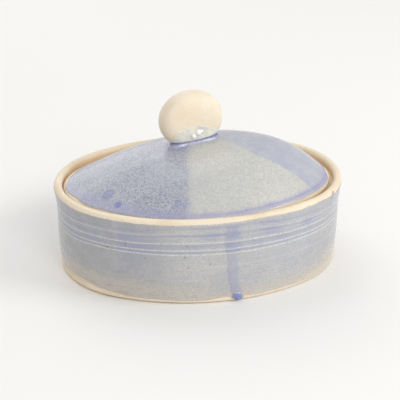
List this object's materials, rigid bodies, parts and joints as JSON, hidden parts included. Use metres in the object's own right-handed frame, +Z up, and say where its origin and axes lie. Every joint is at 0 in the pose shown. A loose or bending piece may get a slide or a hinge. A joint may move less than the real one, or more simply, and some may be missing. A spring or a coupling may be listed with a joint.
{
  "type": "lidded oval bowl",
  "caption": "Oval hand-made stoneware bowl with turned lines round its wall, a bare clay rim and foot, blue-grey glaze, and a domed lid lifted by a pebble knob.",
  "frame": {"origin": "middle of the oval foot, on the table it stands on", "axes": "+X along the oval's length, +Y away from the side with the glaze run, +Z up"},
  "size_m": [0.2008, 0.1528, 0.1201],
  "materials": {
    "bare_clay": "matte",
    "knob_clay": "matte",
    "blue_grey_glaze": "satin",
    "cobalt_glaze": "gloss"
  },
  "bodies": {
    "bowl": {"base_slab": "bare_clay", "bowl_wall": "bare_clay", "gallery_ledge": "bare_clay", "wall_glaze": "blue_grey_glaze", "liner_glaze": "blue_grey_glaze", "glaze_run": "cobalt_glaze"},
    "lid": {"lid_dome": "bare_clay", "lid_glaze": "blue_grey_glaze", "knob": "knob_clay", "knob_glaze": "blue_grey_glaze"}
  },
  "joints": [
    {"name": "lid_lift", "type": "slide", "parent": "bowl", "child": "lid", "axis": [0, 0, 1], "range_m": [0, 0.08]}
  ]
}
